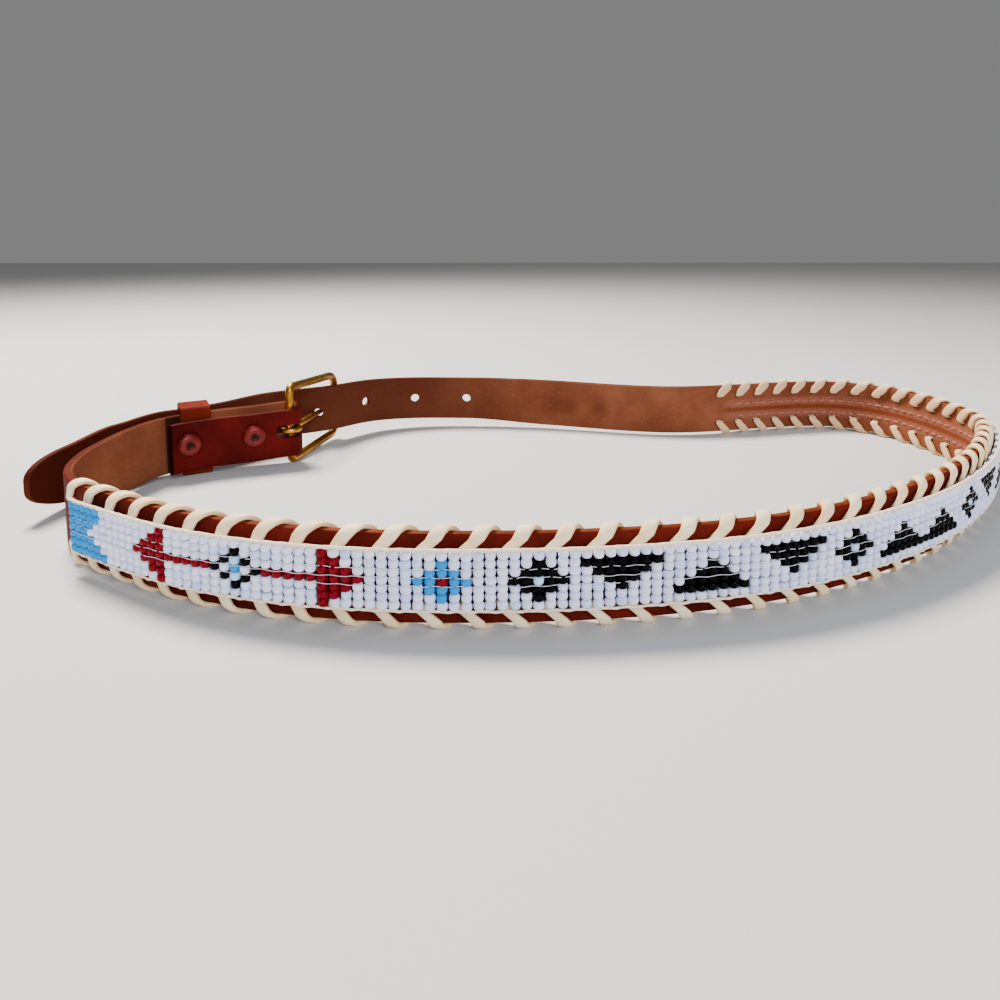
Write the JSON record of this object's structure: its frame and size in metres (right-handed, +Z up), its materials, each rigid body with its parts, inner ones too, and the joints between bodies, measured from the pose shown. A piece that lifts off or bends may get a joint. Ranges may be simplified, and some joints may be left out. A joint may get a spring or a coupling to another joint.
{
  "type": "beaded belt",
  "caption": "Narrow leather belt with a loomed seed bead band and whipped lace edges, buckled into a loop and standing on its lower edge.",
  "frame": {"origin": "on the surface that the belt stands on, under the middle of its bounding box", "axes": "+Z up across the strap's width, +X along the loop's length with the buckle towards -X, -Y towards the beaded front"},
  "size_m": [0.3462, 0.1898, 0.0335],
  "materials": {
    "leather": "oiled, grain outwards",
    "beads": "opaque glossy glass beads",
    "lace": "smooth",
    "brass": "polished",
    "copper": "copper-red plating"
  },
  "bodies": {
    "root": {"strap": "leather", "bead_panel": "beads", "top_lace": "lace", "bottom_lace": "lace", "buckle_frame": "brass", "prong": "brass", "keeper": "leather", "snap_1": "copper", "snap_2": "copper"}
  },
  "joints": []
}
